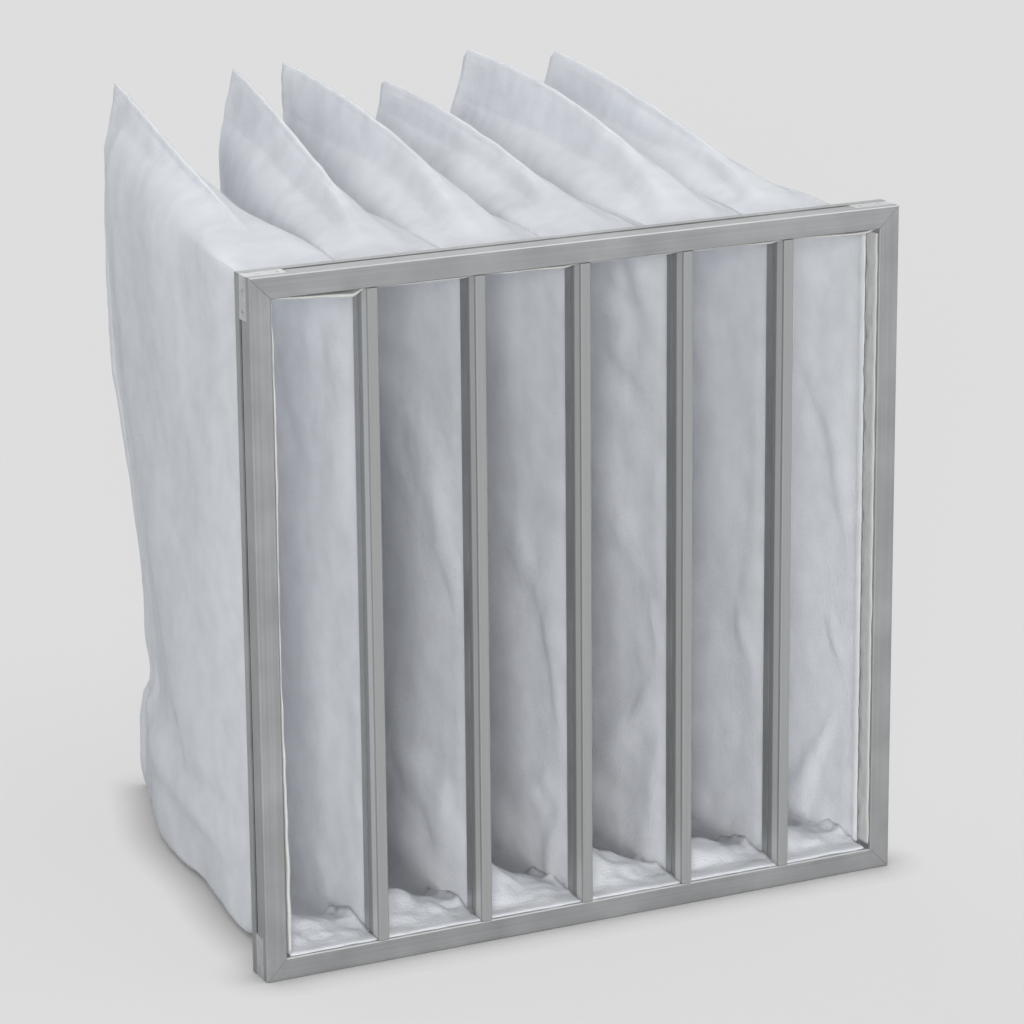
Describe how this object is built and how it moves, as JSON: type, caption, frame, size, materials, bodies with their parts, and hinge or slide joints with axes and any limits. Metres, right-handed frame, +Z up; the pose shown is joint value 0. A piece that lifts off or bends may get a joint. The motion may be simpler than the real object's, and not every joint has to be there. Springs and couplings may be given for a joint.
{
  "type": "bag air filter",
  "caption": "Bag air filter: a square aluminium header with slim divider bars and wedge-shaped pockets of white filter fabric that rise and sag behind it, mouths open at the front.",
  "frame": {"origin": "on the floor under the part, in the middle of its width and of its depth", "axes": "+Z up; the header's open face looks along -Y and the pockets trail towards +Y; +X is to the right when looking into the mouths"},
  "size_m": [0.592, 0.57, 0.6592],
  "materials": {
    "header_aluminium": "satin mill-finish extrusion with fine lengthwise grain",
    "corner_key_metal": "mottled bright metal, staked",
    "filter_fabric": "matte non-woven synthetic fleece, faintly embossed"
  },
  "bodies": {
    "root": {"frame_rail_bottom": "header_aluminium", "frame_rail_right": "header_aluminium", "frame_rail_top": "header_aluminium", "frame_rail_left": "header_aluminium", "corner_key_bottom_left": "corner_key_metal", "corner_key_bottom_right": "corner_key_metal", "corner_key_top_left": "corner_key_metal", "corner_key_top_right": "corner_key_metal", "divider_bar_1": "header_aluminium", "divider_bar_2": "header_aluminium", "divider_bar_3": "header_aluminium", "divider_bar_4": "header_aluminium", "divider_bar_5": "header_aluminium", "divider_clip_1": "header_aluminium", "divider_clip_2": "header_aluminium", "divider_clip_3": "header_aluminium", "divider_clip_4": "header_aluminium", "divider_clip_5": "header_aluminium", "filter_pocket_1": "filter_fabric", "filter_pocket_2": "filter_fabric", "filter_pocket_3": "filter_fabric", "filter_pocket_4": "filter_fabric", "filter_pocket_5": "filter_fabric", "filter_pocket_6": "filter_fabric"}
  },
  "joints": []
}
